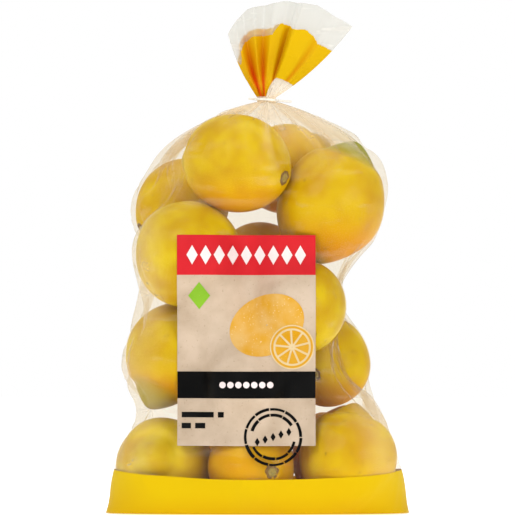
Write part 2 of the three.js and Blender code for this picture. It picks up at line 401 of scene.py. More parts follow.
def draw_film(bag):
    """Rows of points of the film from the foot to the neck, settled on half the points, then on all."""
    start = film_start(bag)
    neck = pleated_ring(TAU * np.arange(COLUMNS) / COLUMNS)
    start[-1] = neck
    form = start[::2, ::2]
    coarse = form.copy()
    dents = outward(coarse) * buckles(*coarse.shape[:2])[..., None] * BUCKLE
    coarse[1:-1, :, :2] += dents[1:-1]
    rest_up = np.linalg.norm(np.diff(form, axis=0), axis=-1) * SPARE_HEIGHT
    coarse = settle(coarse, form, rest_round(form, FILM_GIRTH), rest_up, *COARSE_ROUND)
    fine = finer(coarse)
    fine[-1] = neck
    fine[0] = start[0]
    rest_up = np.linalg.norm(np.diff(start, axis=0), axis=-1) * SPARE_HEIGHT
    fine = settle(fine, start, rest_round(start, FILM_GIRTH), rest_up, *FINE_ROUND)
    return flatten_label(fine)


# ---- the fanned mouth ----

MOUTH_LEFT, MOUTH_RIGHT = -24.5, 47.0  # degrees from upright to the fan's two edges at the rim
MOUTH_SPREAD = 10.0  # degrees by which the fan is wider at the neck
CLEAR_RIM = 14.0  # width of the clear strip along the rim
PRINT_LOWEST = 0.6  # how far above the neck the print begins on the fan's left half
PRINT_START = 12.0  # how much higher it begins on the right half
RAGGED = 0.35
MOUTH_ROWS = (6, 34, 14)  # below the printed band, across it, and across the clear rim
# Folds of the fan, from its left edge to its right: share of the width, depth (front is negative).
MOUTH_FOLDS = [
    (0.0, 0.0), (0.1, -3.0), (0.18, 3.0), (0.27, -3.0), (0.35, 3.5), (0.42, -1.0), (0.52, 0.5),
    (0.58, 4.5), (0.61, -5.5), (0.78, -4.0), (0.84, -1.5), (0.89, -3.0), (1.0, 0.0),
]
# The rim's outline: share of the width, and length up from the tie.
RIM_OUTLINE = [
    (0.0, 42.0), (0.12, 48.5), (0.22, 53.8), (0.37, 55.8), (0.5, 59.2), (0.61, 59.8), (0.72, 61.8),
    (0.86, 60.8), (1.0, 62.5),
]
# Where the ink is painted deeper orange in the fan's fold valleys, partly as ink lying double and
# partly as painted shade: share of the width, half width and strength.
MOUTH_VALLEYS = (
    (0.17, 0.06, 0.85), (0.35, 0.045, 0.75), (0.56, 0.03, 0.4), (0.83, 0.03, 0.35), (0.2, 0.25, 0.25),
)
# How the print's upper edge wanders: share of the width, and millimetres up.
PRINT_EDGE = [
    (0.0, -3.8), (0.07, -3.2), (0.085, 0.4), (0.17, 2.4), (0.18, 0.8), (0.29, 0.6), (0.44, -1.6),
    (0.45, 0.3), (0.58, -0.4), (0.6, -2.6), (0.7, -2.2), (0.8, -3.4), (0.86, -5.4), (1.0, -5.2),
]
LAYER_GAP = 1.6  # between the two layers of the flattened tube
RIPPLE, RIPPLES = 0.9, 9  # the layers' own small waves: height, and radians across the fan
FOLD_AT_NECK, FOLD_GROWTH = 0.15, 1.9  # share of a fold's depth at the neck, and its growth up the fan
FRONT_LOWER = 4.2  # how much lower the print ends on the front layer, left of the big fold


def mouth_point(angle, ring, distance, long):
    """A point of the mouth at this distance up from the neck."""
    t = distance / long
    share = (math.cos(angle) + 1) / 2
    spread = MOUTH_SPREAD * (1 - t)
    lean = math.radians((MOUTH_LEFT - spread) * (1 - share) + (MOUTH_RIGHT + spread) * share)
    folds = np.array(MOUTH_FOLDS)
    depth = np.interp(share, folds[:, 0], folds[:, 1]) * min(1.0, FOLD_AT_NECK + FOLD_GROWTH * t)
    side = math.sin(angle)
    layer = side * LAYER_GAP * min(1.0, 2 * t) + RIPPLE * side * math.sin(RIPPLES * share + 2 * t)
    grip = (1 - min(1.0, 3 * t)) ** 1.5
    wide = NECK_RADIUS * math.cos(angle) * (1 - grip)
    x = NECK_X + (ring[0] - NECK_X) * grip + wide + distance * math.sin(lean)
    y = ring[1] * grip + (depth + layer) * (1 - grip)
    return x, y, NECK_Z + NECK_LENGTH + distance * math.cos(lean)


def draw_mouth(ring):
    """Rows of points of the mouth, from the neck's ring to the rim, closer across the print."""
    angles = TAU * np.arange(COLUMNS) / COLUMNS
    edge, outline = np.array(PRINT_EDGE), np.array(RIM_OUTLINE)
    ragged = np.random.default_rng(SEED + 20).uniform(-RAGGED, RAGGED, COLUMNS)
    columns = []
    for angle, start, rough in zip(angles, ring, ragged):
        share = (math.cos(angle) + 1) / 2
        long = np.interp(share, outline[:, 0], outline[:, 1])
        band_end = long - CLEAR_RIM + np.interp(share, edge[:, 0], edge[:, 1]) + rough
        band_end -= FRONT_LOWER * ramp(-math.sin(angle), 0.1, 0.4) * (1 - ramp(share, 0.44, 0.5))
        band_start = PRINT_LOWEST + PRINT_START * ramp(share, 0.42, 0.62)
        below = np.linspace(0, band_start, MOUTH_ROWS[0], endpoint=False)
        band = np.linspace(band_start, band_end, MOUTH_ROWS[1], endpoint=False)
        rim = np.linspace(band_end, long, MOUTH_ROWS[2] + 1)
        columns.append([mouth_point(angle, start, d, long) for d in (*below, *band, *rim)])
    return np.array(columns).transpose(1, 0, 2)


# ---- meshes ----


def linear(colour):
    """An sRGB hex colour as linear RGBA."""
    channels = [int(colour[i : i + 2], 16) / 255 for i in (1, 3, 5)]
    return [c / 12.92 if c <= 0.04045 else ((c + 0.055) / 1.055) ** 2.4 for c in channels] + [1.0]


def add(tree, kind, settings=None, inputs=None):
    """Adds a node with its settings, and its inputs as values or as links from other nodes' outputs."""
    made = tree.nodes.new(kind)
    for key, value in (settings or {}).items():
        setattr(made, key, value)
    for key, value in (inputs or {}).items():
        if isinstance(value, bpy.types.NodeSocket):
            tree.links.new(value, made.inputs[key])
        else:
            made.inputs[key].default_value = value
    return made


def every(size):
    """Texture scale for a pattern whose features are this many millimetres apart."""
    return 1 / (size * MM)


def new_material(name):
    """A material with an empty node tree."""
    material = bpy.data.materials.new(name)
    material.use_nodes = True
    material.node_tree.nodes.clear()
    return material, material.node_tree


def new_piece(name, points, faces, material):
    """A smooth mesh from points in millimetres, riding on the bag."""
    mesh = bpy.data.meshes.new(name)
    mesh.from_pydata((np.asarray(points, float) * MM).tolist(), [], faces)
    mesh.update()
    mesh.polygons.foreach_set("use_smooth", [True] * len(mesh.polygons))
    mesh.materials.append(material)
    piece = bpy.data.objects.new(name, mesh)
    bpy.context.scene.collection.objects.link(piece)
    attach(piece, "root")
    return piece


def tube_faces(rows, columns):
    """Quads between the rows of a tube whose points run round it, row by row."""
    j, i = np.meshgrid(np.arange(rows - 1), np.arange(columns), indexing="ij")
    a = j * columns + i
    b = j * columns + (i + 1) % columns
    return np.stack([a, b, b + columns, a + columns], -1).reshape(-1, 4).tolist()


def give(piece, name, values):
    """Stores a number per point on a piece, for its material to read."""
    attribute = piece.data.attributes.new(name, "FLOAT", "POINT")
    attribute.data.foreach_set("value", np.asarray(values, np.float32).ravel())


# ---- lemons ----

PEEL_AROUND, PEEL_ALONG = 96, 72
CLOSER_AT_ENDS = 0.22  # how far the peel's rows crowd towards its two ends
PORE_SPACING = 1.6  # real pores are about 1 mm apart, too fine to show
PORE_SHARE = 0.35  # of the peel's relief, against its slower grain
GREEN_ALL_OVER, GREEN_AT_STEM = 0.12, 0.7  # shares of a lemon's green away from its tip
PAINTED_SHADE_FALL, PAINTED_SHADE_BELOW = 0.3, 0.62  # painted shade: how much more orange the peel is painted lower down, and underneath


def peel_material():
    """Lemon peel: waxy and pored, a deep yellow that turns green at the ends of unripe fruit, with painted
    orange shade below.
    """
    material, tree = new_material("waxed lemon peel")
    place = add(tree, "ShaderNodeTexCoord").outputs["Object"]
    green = add(tree, "ShaderNodeAttribute", {"attribute_name": "green"}).outputs["Fac"]
    orange_and_shade = add(tree, "ShaderNodeAttribute", {"attribute_name": "orange_and_shade"}).outputs["Fac"]
    patches = add(tree, "ShaderNodeTexNoise", inputs={"Vector": place, "Scale": every(18), "Detail": 5.0})
    spread = add(
        tree,
        "ShaderNodeMapRange",
        inputs={"Value": patches.outputs["Fac"], "From Min": 0.35, "From Max": 0.65},
    )
    specks = add(tree, "ShaderNodeTexNoise", inputs={"Vector": place, "Scale": every(3), "Detail": 3.0})
    scars = add(
        tree,
        "ShaderNodeMapRange",
        inputs={"Value": specks.outputs["Fac"], "From Min": 0.66, "From Max": 0.76, "To Max": 0.75},
    )
    # The deep yellow, then what lies over it: orange patches, orange with painted shade below, green and
    # brown scars.
    colour = linear("#D6BC08")
    for share, over in (
        (spread.outputs[0], "#C09A04"),
        # the peel's own orange, plus painted shade that deepens it towards the underside
        (orange_and_shade, "#D68A00"),
        (green, "#8A8A16"),
        (scars.outputs[0], "#8A6E1A"),
    ):
        layered = {"Factor": share, "A": colour, "B": linear(over)}
        colour = add(tree, "ShaderNodeMix", {"data_type": "RGBA"}, layered).outputs["Result"]
    pores = add(tree, "ShaderNodeTexVoronoi", inputs={"Vector": place, "Scale": every(PORE_SPACING)})
    grain = add(tree, "ShaderNodeTexNoise", inputs={"Vector": place, "Scale": every(4), "Detail": 2.0})
    relief = add(
        tree,
        "ShaderNodeMath",
        {"operation": "MULTIPLY_ADD"},
        {0: pores.outputs["Distance"], 1: PORE_SHARE, 2: grain.outputs["Fac"]},
    )
    bump = add(
        tree, "ShaderNodeBump", inputs={"Strength": 0.22, "Distance": 0.0006, "Height": relief.outputs[0]}
    )
    shader = add(
        tree,
        "ShaderNodeBsdfPrincipled",
        inputs={
            "Base Color": colour,
            "Roughness": 0.45,
            "IOR": 1.4,
            "Specular IOR Level": 0.12,
            "Subsurface Weight": 0.12,
            "Subsurface Radius": (1.0, 0.55, 0.1),
            "Subsurface Scale": 0.003,
            "Normal": bump.outputs["Normal"],
        },
    )
    add(tree, "ShaderNodeOutputMaterial", inputs={"Surface": shader.outputs[0]})
    return material


def frame_of(tip):
    """Three axes, the last one along the lemon."""
    along = unit(tip)
    helper = np.array([0, 0, 1.0]) if abs(along[2]) < 0.9 else np.array([1.0, 0, 0])
    side = unit(np.cross(helper, along))
    return np.array([side, np.cross(along, side), along])


def make_lemon(index, lemon, material):
    """A lemon, with how green its peel is at each point, and how orange, with painted shade below."""
    turn = TAU * np.arange(PEEL_AROUND) / PEEL_AROUND
    polar = np.linspace(0, math.pi, PEEL_ALONG + 1)[1:-1]
    polar = polar - CLOSER_AT_ENDS * np.sin(2 * polar)
    ring = np.stack(
        [
            np.sin(polar)[:, None] * np.cos(turn),
            np.sin(polar)[:, None] * np.sin(turn),
            np.repeat(np.cos(polar)[:, None], PEEL_AROUND, 1),
        ],
        -1,
    ).reshape(-1, 3)
    way = np.concatenate([ring, [[0, 0, 1.0], [0, 0, -1.0]]]) @ frame_of(lemon["tip"])
    points = way * peel_radius(lemon, index, way)[:, None] + np.array(lemon["at"], float)
    rows = len(polar)
    faces = tube_faces(rows, PEEL_AROUND)
    top, bottom = rows * PEEL_AROUND, rows * PEEL_AROUND + 1
    for i in range(PEEL_AROUND):
        after = (i + 1) % PEEL_AROUND
        faces.append([top, after, i])
        last = (rows - 1) * PEEL_AROUND
        faces.append([bottom, last + i, last + after])
    faces = [face[::-1] for face in faces]
    piece = new_piece(f"lemon_{index + 1:02d}", points, faces, material)
    t = way @ unit(lemon["tip"])
    ends = np.maximum(ramp(t, 0.75, 0.99), GREEN_AT_STEM * ramp(-t, 0.9, 1.0))
    unripe = GREEN_ALL_OVER + (1 - GREEN_ALL_OVER) * ends
    give(piece, "green", np.clip(lemon["green"] * unripe, 0, 1))
    # Painted shade: each lemon's orange grows towards its underside, and more is painted below.
    up = way[:, 2]
    orange_and_painted_shade = lemon["orange_and_shade"] * (1 - PAINTED_SHADE_FALL * up) + PAINTED_SHADE_BELOW * ramp(-up, 0.1, 1.0)
    give(piece, "orange_and_shade", np.clip(orange_and_painted_shade, 0, 1))


# ---- film ----

MILK_THROUGH = 0.55  # share of the film's milkiness that light from behind shows
GLOSS_FLAT, GLOSS_EDGE, GLOSS_POWER = 0.004, 0.22, 4.5  # seen square on, edge on, and in between
INK_THROUGH = 0.07  # share of light that the ink lets through
SEAM_Z = 0.2  # height of the seam under the foot
FOOT_PAINTED_SHADE = 0.3  # strength of the painted shade, deeper orange, along the foot's hem and corners
LAYER_STEPS = 34  # round the neck, each with its own thickness of layers
# How milky the film is, from 0 to 1: hanging free, creased, spreading from the neck, at the bag's
# sides, gathered below the tie, above the tie and inside it. Streaks add to some.
HANGING_HAZE, CREASE_HAZE, FAN_HAZE = 0.03, 0.03, 0.2
SIDE_HAZE, SIDE_STREAKS = 0.1, 0.16
GATHERED_HAZE, GATHERED_STREAKS = 0.25, 0.5
MOUTH_HAZE, GRIP_HAZE = 0.45, 0.6


def film_material(name, tint, cloud, crease):
    """Clear polythene film: milky where it hangs free or is creased, clear where it lies on a lemon."""
    material, tree = new_material(name)
    haze = add(tree, "ShaderNodeAttribute", {"attribute_name": "haze"}).outputs["Fac"]
    place = add(tree, "ShaderNodeTexCoord").outputs["Object"]
    stretched = add(tree, "ShaderNodeMapping", inputs={"Vector": place, "Scale": (1, 1, 0.25)})
    crinkle = add(
        tree,
        "ShaderNodeTexNoise",
        inputs={"Vector": stretched.outputs[0], "Scale": every(8), "Detail": 1.5},
    )
    bump = add(
        tree,
        "ShaderNodeBump",
        inputs={"Strength": 0.25, "Distance": 0.0005, "Height": crinkle.outputs["Fac"]},
    )
    slanted = add(
        tree,
        "ShaderNodeMapping",
        inputs={"Vector": place, "Rotation": (0.0, 0.9, 0.0), "Scale": (0.1, 0.6, 1.0)},
    )
    creases = add(
        tree, "ShaderNodeTexNoise", inputs={"Vector": slanted.outputs[0], "Scale": every(6), "Detail": 2.0}
    )
    creased = add(
        tree,
        "ShaderNodeMapRange",
        inputs={"Value": creases.outputs["Fac"], "From Min": 0.58, "From Max": 0.74, "To Max": crease},
    )
    milky = add(
        tree, "ShaderNodeMath", {"operation": "ADD", "use_clamp": True}, {0: haze, 1: creased.outputs[0]}
    )
    clear = add(tree, "ShaderNodeBsdfTransparent", inputs={"Color": linear(tint)})
    front = add(tree, "ShaderNodeBsdfDiffuse", inputs={"Color": linear(cloud), "Normal": bump.outputs[0]})
    through = add(
        tree, "ShaderNodeBsdfTranslucent", inputs={"Color": linear(cloud), "Normal": bump.outputs[0]}
    )
    milk = add(
        tree,
        "ShaderNodeMixShader",
        inputs={"Fac": MILK_THROUGH, 1: front.outputs[0], 2: through.outputs[0]},
    )
    sheet = add(
        tree,
        "ShaderNodeMixShader",
        inputs={"Fac": milky.outputs[0], 1: clear.outputs[0], 2: milk.outputs[0]},
    )
    gloss = add(
        tree,
        "ShaderNodeBsdfGlossy",
        inputs={"Color": linear("#FFFFFF"), "Roughness": 0.16, "Normal": bump.outputs[0]},
    )
    edge = add(tree, "ShaderNodeLayerWeight", inputs={"Blend": 0.5, "Normal": bump.outputs[0]})
    steep = add(tree, "ShaderNodeMath", {"operation": "POWER"}, {0: edge.outputs["Facing"], 1: GLOSS_POWER})
    share = add(
        tree,
        "ShaderNodeMath",
        {"operation": "MULTIPLY_ADD"},
        {0: steep.outputs[0], 1: GLOSS_EDGE, 2: GLOSS_FLAT},
    )
    shader = add(
        tree,
        "ShaderNodeMixShader",
        inputs={"Fac": share.outputs[0], 1: sheet.outputs[0], 2: gloss.outputs[0]},
    )
    add(tree, "ShaderNodeOutputMaterial", inputs={"Surface": shader.outputs[0]})
    return material


def print_material(name, colour, deep, doubled_ink_and_shade_colour):
    """Yellow ink on film: nearly opaque, satin, orange in folds as double ink and painted shade."""
    material, tree = new_material(name)
    fold = add(tree, "ShaderNodeAttribute", {"attribute_name": "fold"}).outputs["Fac"]
    place = add(tree, "ShaderNodeTexCoord").outputs["Object"]
    cloud = add(tree, "ShaderNodeTexNoise", inputs={"Vector": place, "Scale": every(40), "Detail": 2.0})
    tone = add(
        tree,
        "ShaderNodeMix",
        {"data_type": "RGBA"},
        {"Factor": cloud.outputs["Fac"], "A": linear(colour), "B": linear(deep)},
    )
    doubled_ink_and_shade = add(
        tree,
        "ShaderNodeMix",
        {"data_type": "RGBA"},
        {"Factor": fold, "A": tone.outputs["Result"], "B": linear(doubled_ink_and_shade_colour)},
    )
    front = add(
        tree,
        "ShaderNodeBsdfPrincipled",
        inputs={
            "Base Color": doubled_ink_and_shade.outputs["Result"],
            "Roughness": 0.5,
            "IOR": 1.5,
            "Specular IOR Level": 0.05,
        },
    )
    through = add(tree, "ShaderNodeBsdfTranslucent", inputs={"Color": linear(deep)})
    shader = add(
        tree, "ShaderNodeMixShader", inputs={"Fac": INK_THROUGH, 1: front.outputs[0], 2: through.outputs[0]}
    )
    add(tree, "ShaderNodeOutputMaterial", inputs={"Surface": shader.outputs[0]})
    return material


def stand_off(points):
    """Distance from each point out to the nearest peel."""
    flat = points.reshape(-1, 3)
    nearest = np.full(len(flat), 1e3)
    for index, lemon in enumerate(LEMONS):
        away = flat - np.array(lemon["at"], float)
        far = np.linalg.norm(away, axis=1)
        reach = peel_radius(lemon, index, away / far[:, None])
        nearest = np.minimum(nearest, far - reach)
    return nearest.reshape(points.shape[:2])


def sharpness(p):
    """How sharply the film is creased at each point, from 0 to 1."""
    across = np.linalg.norm((np.roll(p, 1, 1) + np.roll(p, -1, 1)) / 2 - p, axis=-1)
    step = np.linalg.norm(np.roll(p, -1, 1) - p, axis=-1)
    return np.clip(across / np.maximum(step, 0.3) * 1.6, 0, 1)


def streaks(count):
    """How thickly the layers lie at each column of the gathered neck, from 0 to 1."""
    thick = np.random.default_rng(SEED + 60).uniform(0, 1, LAYER_STEPS)
    at = np.linspace(0, LAYER_STEPS, count, endpoint=False)
    return np.interp(at, np.arange(LAYER_STEPS), thick, period=LAYER_STEPS)


def wall_haze(wall):
    """How milky the film is at each point of the bag's wall, from 0 to 1.

    The ramps run over levels and over the film's distance from the peel, in millimetres.
    """
    z = wall[..., 2]
    gap = stand_off(wall)
    layers = streaks(COLUMNS)
    hanging = HANGING_HAZE * ramp(gap, 0.6, 7) + CREASE_HAZE * sharpness(wall)
    fanned = FAN_HAZE * ramp(z, 172, 226) * (0.2 + 0.8 * ramp(gap, 0.6, 4))
    haze = hanging + fanned * layers**2
    half = np.abs(wall[..., 0] - centre_x(z))
    at_side = ramp(half / half.max(1, keepdims=True), 0.66, 0.94) * (1 - ramp(z, 165, 195))
    haze = haze + (SIDE_HAZE + SIDE_STREAKS * layers) * at_side * (wall[..., 1] < 0)
    gathered = ramp(z, 211, 244) * ramp(gap, 0.6, 5)
    return haze + (GATHERED_HAZE + GATHERED_STREAKS * layers - haze) * gathered


def film_tube(name, rows, material, slot):
    """A tube of film from its rows of points. Clear film throws no shadow."""
    piece = new_piece(name, rows.reshape(-1, 3), tube_faces(len(rows), COLUMNS), material)
    piece.visible_shadow = slot == "film_print"
    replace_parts(piece, "bag")
    return piece


def make_foot(body, material):
    """The printed foot, closed below by rings that narrow to a seam."""
    under = [body[0] * [1, narrow, 0] + [0, 0, SEAM_Z] for narrow in (0.0, 0.35, 0.7)]
    foot = np.concatenate([np.array(under), body[: FOOT_ROWS + 1]])
    piece = film_tube("printed_foot", foot, material, "film_print")
    # Painted shade: the band turns deeper orange towards its hem, where it curves under, and at its
    # corners.
    corner = ramp(np.abs(foot[..., 0]), 50, 88) * (1 - ramp(foot[..., 2], 1, 22))
    hem = 1 - ramp(foot[..., 2], 0, 14)
    give(piece, "fold", FOOT_PAINTED_SHADE * np.maximum(corner, hem))


def make_mouth(clear, single, amber):
    """The film above the tie: a clear neck, the printed fan and the clear rim."""
    mouth = draw_mouth(pleated_ring(TAU * np.arange(COLUMNS) / COLUMNS))
    ends = np.cumsum(MOUTH_ROWS)
    share = (np.cos(TAU * np.arange(COLUMNS) / COLUMNS) + 1) / 2
    # Painted shade: deeper orange along the fold valleys, strongest towards the neck, partly for ink lying
    # double.
    doubled_ink_and_shade = sum(strength * np.exp(-(((share - at) / wide) ** 2)) for at, wide, strength in MOUTH_VALLEYS)
    for name, part, material, slot in (
        ("film_neck", mouth[: ends[0] + 1], clear, "film"),
        ("printed_mouth", mouth[ends[0] : ends[1] + 1], amber, "film_print"),
        ("film_rim", mouth[ends[1] :], single, "film"),
    ):
        piece = film_tube(name, part, material, slot)
        down = np.linspace(1, 0, len(part))[:, None]
        give(piece, "fold", np.clip(doubled_ink_and_shade * (0.3 + 1.1 * down), 0, 1))
        give(piece, "haze", np.full(part.shape[:2], MOUTH_HAZE))
    sleeve = np.stack([mouth[0] - [0, 0, NECK_LENGTH], mouth[0]])
    grip = film_tube("film_grip", sleeve, clear, "film")
    give(grip, "haze", np.full(sleeve.shape[:2], GRIP_HAZE))


def make_film(frame):
    """The film and all its print, in place of the CAD bag."""
    clear = film_material("blown clear polythene film", "#FAF6EE", "#FCF5E8", 0.12)
    single = film_material("clear polythene film at the mouth", "#F8F8F5", "#E6E4DE", 0.25)
    # Each ink's last colour is the painted orange shade of its folds and foot hem, partly ink lying double
    # in the mouth.
    yellow = print_material("yellow ink on film", "#D6B802", "#D2AC02", "#C08602")
    amber = print_material("amber ink on film", "#D8B202", "#D2A202", "#C84400")
    body = draw_film(frame["nodes"]["bag"])
    make_foot(body, yellow)
    wall = body[FOOT_ROWS:]
    give(film_tube("film_wall", wall, clear, "film"), "haze", wall_haze(wall))
    make_mouth(clear, single, amber)
    points = [Vector(point) for point in body.reshape(-1, 3)]
    make_label(BVHTree.FromPolygons(points, tube_faces(len(body), COLUMNS)))


# ---- the printed panel ----

RED_FROM = 142.2  # the red header's lower edge
BLACK_FROM, BLACK_TO = 69.2, 85.1
INK_LIFT = 0.18  # each ink lies this much in front of what it is printed on
CELL = 1.3  # side of the small faces that let a flat shape follow the film
LOZENGES, LOZENGE_WIDE, LOZENGE_TALL, LOZENGE_MARGIN = 9, 6.6, 11.5, 5.0
DOT_RADIUS, DOT_SPACING = 1.9, 4.7
GREEN_MARK = (-34.5, 130.0, 13.0, 16.0)  # x, z, width, height
FRUIT = (5.5, 112.5, 23.0, 17.5, 0.45)  # x, z, half its length and width, lean in radians
SLICE_X, SLICE_Z = 20.5, 99.5
SLICE_RADIUS, SLICE_WEDGES, SLICE_TURN = 12.4, 9, 0.25
FLESH_FROM, FLESH_TO, RIND_FROM = 0.14, 0.8, 0.9  # shares of the slice's radius
MEMBRANE = 0.09  # bare share of each wedge's step, on either side
SLICE_FIELD = 13.2  # radius of the pale round behind the slice
BARS = ((-45, -26, 59.5), (-23.5, -20, 59.5), (-45, -39.5, 53), (-37, -31, 53))  # from x, to x, z
BAR_TALL = 3.2
STAMP_X, STAMP_Z, STAMP_LEAN = 9.2, 46.4, 0.3
# The stamp's broken rings: radius, where each starts and ends in radians, and its number of strokes.
STAMP_RINGS = ((16.4, 0.0, TAU, 11), (12.9, 0.55, 2.9, 4), (12.9, 3.6, 6.1, 4))
STROKE_THINNEST, STROKE_THICKEST = 0.6, 1.05  # either side of a ring's radius
STROKE_GAP = 0.035
STAMP_MARK_WIDE, STAMP_MARK_TALL, STAMP_SPACING = 3.0, 5.0, 4.9


class Drawing:
    """Flat shapes in the front plane, in millimetres, to be laid on the film as one piece."""

    def __init__(self):
        self.points = []
        self.faces = []

    def patch(self, points):
        """A patch of rows of points, each row as long as the next."""
        rows, columns = points.shape[:2]
        first = len(self.points)
        self.points += points.reshape(-1, 2).tolist()
        for j in range(rows - 1):
            for i in range(columns - 1):
                a = first + j * columns + i
                self.faces.append([a, a + 1, a + 1 + columns, a + columns])

    def rectangle(self, x0, z0, x1, z1):
        """A filled rectangle between two corners."""
        columns = max(2, round(abs(x1 - x0) / CELL) + 1)
        rows = max(2, round(abs(z1 - z0) / CELL) + 1)
        x, z = np.meshgrid(np.linspace(x0, x1, columns), np.linspace(z0, z1, rows))
        self.patch(np.stack([x, z], -1))

    def band(self, x, z, inner, outer, start, end):
        """A part of a ring between two radii and two angles."""
        steps = max(6, round((end - start) * outer / CELL))
        a = np.linspace(start, end, steps + 1)
        way = np.stack([np.cos(a), np.sin(a)], -1)
        layers = max(2, round((outer - inner) / CELL) + 1)
        radius = inner + (outer - inner) * np.linspace(0, 1, layers)
        self.patch(np.array([x, z]) + radius[:, None, None] * way)

    def blob(self, outline):
        """A shape filled from its middle out to a closed outline."""
        outline = np.asarray(outline, float)
        middle = outline.mean(0)
        edge = []
        for start, end in zip(outline, np.roll(outline, -1, 0)):
            steps = max(1, round(float(np.linalg.norm(end - start)) / CELL))
            edge += [start + (end - start) * k / steps for k in range(steps)]
        closed = np.array(edge + [outline[0]])
        reach = np.linalg.norm(closed - middle, axis=1).max()
        shares = np.linspace(0.02, 1, max(2, round(reach / CELL) + 1))
        self.patch(middle + (closed - middle) * shares[:, None, None])


def lay(name, drawing, film, lift, material):
    """Lays a drawing on the front of the film."""
    points = []
    for x, z in drawing.points:
        hit = film.ray_cast(Vector((x, -FAR_OUT, z)), Vector((0, 1, 0)))
        points.append((x, hit[0][1] - lift, z))
    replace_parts(new_piece(name, points, drawing.faces, material), "bag")


def ink_material(name, colour, worn, fleck):
    """Printing ink on film: flat and nearly opaque, a little cloudy, worn through in small flecks."""
    material, tree = new_material(name)
    place = add(tree, "ShaderNodeTexCoord").outputs["Object"]
    cloud = add(tree, "ShaderNodeTexNoise", inputs={"Vector": place, "Scale": every(16), "Detail": 5.0})
    speck = add(tree, "ShaderNodeTexNoise", inputs={"Vector": place, "Scale": every(1.1), "Detail": 2.0})
    flecks = add(
        tree,
        "ShaderNodeMapRange",
        inputs={"Value": speck.outputs["Fac"], "From Min": 0.66, "From Max": 0.72, "To Max": fleck},
    )
    tone = add(
        tree,
        "ShaderNodeMapRange",
        inputs={"Value": cloud.outputs["Fac"], "From Min": 0.35, "From Max": 0.75, "To Max": 0.6},
    )
    shade = add(
        tree,
        "ShaderNodeMath",
        {"operation": "ADD", "use_clamp": True},
        {0: tone.outputs[0], 1: flecks.outputs[0]},
    )
    mixed = add(
        tree,
        "ShaderNodeMix",
        {"data_type": "RGBA"},
        {"Factor": shade.outputs[0], "A": linear(colour), "B": linear(worn)},
    )
    shader = add(
        tree,
        "ShaderNodeBsdfPrincipled",
        inputs={
            "Base Color": mixed.outputs["Result"],
            "Roughness": 0.5,
            "IOR": 1.5,
            "Specular IOR Level": 0.06,
        },
    )
    add(tree, "ShaderNodeOutputMaterial", inputs={"Surface": shader.outputs[0]})
    return material


def lozenge(x, z, wide, tall):
    """The outline of a lozenge round x, z."""
    return [(x - wide / 2, z), (x, z + tall / 2), (x + wide / 2, z), (x, z - tall / 2)]


def oval(x, z, half_long, half_short, lean=0.0):
    """The outline of an oval round x, z; lean is in radians."""
    turn = np.linspace(0, TAU, 40, endpoint=False)
    c, s = math.cos(lean), math.sin(lean)
    shape = np.stack([half_long * np.cos(turn), half_short * np.sin(turn)], -1)
    return shape @ np.array([[c, s], [-s, c]]) + np.array([x, z])


def draw_slice(drawing):
    """A cut fruit: a ring of rind and round-backed wedges of flesh."""
    middle = np.array([SLICE_X, SLICE_Z])
    drawing.band(*middle, SLICE_RADIUS * RIND_FROM, SLICE_RADIUS, SLICE_TURN, SLICE_TURN + TAU)
    step = TAU / SLICE_WEDGES
    for k in range(SLICE_WEDGES):
        start, end = SLICE_TURN + (k + MEMBRANE) * step, SLICE_TURN + (k + 1 - MEMBRANE) * step
        a = np.linspace(start, end, 7)
        back = middle + SLICE_RADIUS * FLESH_TO * np.stack([np.cos(a), np.sin(a)], -1)
        point = middle + SLICE_RADIUS * FLESH_FROM * np.array([math.cos(a[3]), math.sin(a[3])])
        drawing.blob([point, *back])


def draw_stamp(drawing):
    """Two rings of uneven strokes round a slanted row of small lozenges."""
    rng = np.random.default_rng(SEED + 50)
    for radius, start, end, strokes in STAMP_RINGS:
        marks = np.linspace(start, end, strokes + 1)
        for a0, a1 in zip(marks, marks[1:]):
            inside, outside = rng.uniform(STROKE_THINNEST, STROKE_THICKEST, 2)
            drawing.band(STAMP_X, STAMP_Z, radius - inside, radius + outside, a0, a1 - STROKE_GAP)
    for k in range(-2, 3):
        along = k * STAMP_SPACING
        x, z = STAMP_X + along * math.cos(STAMP_LEAN), STAMP_Z + along * math.sin(STAMP_LEAN)
        drawing.blob(lozenge(x, z, STAMP_MARK_WIDE, STAMP_MARK_TALL))


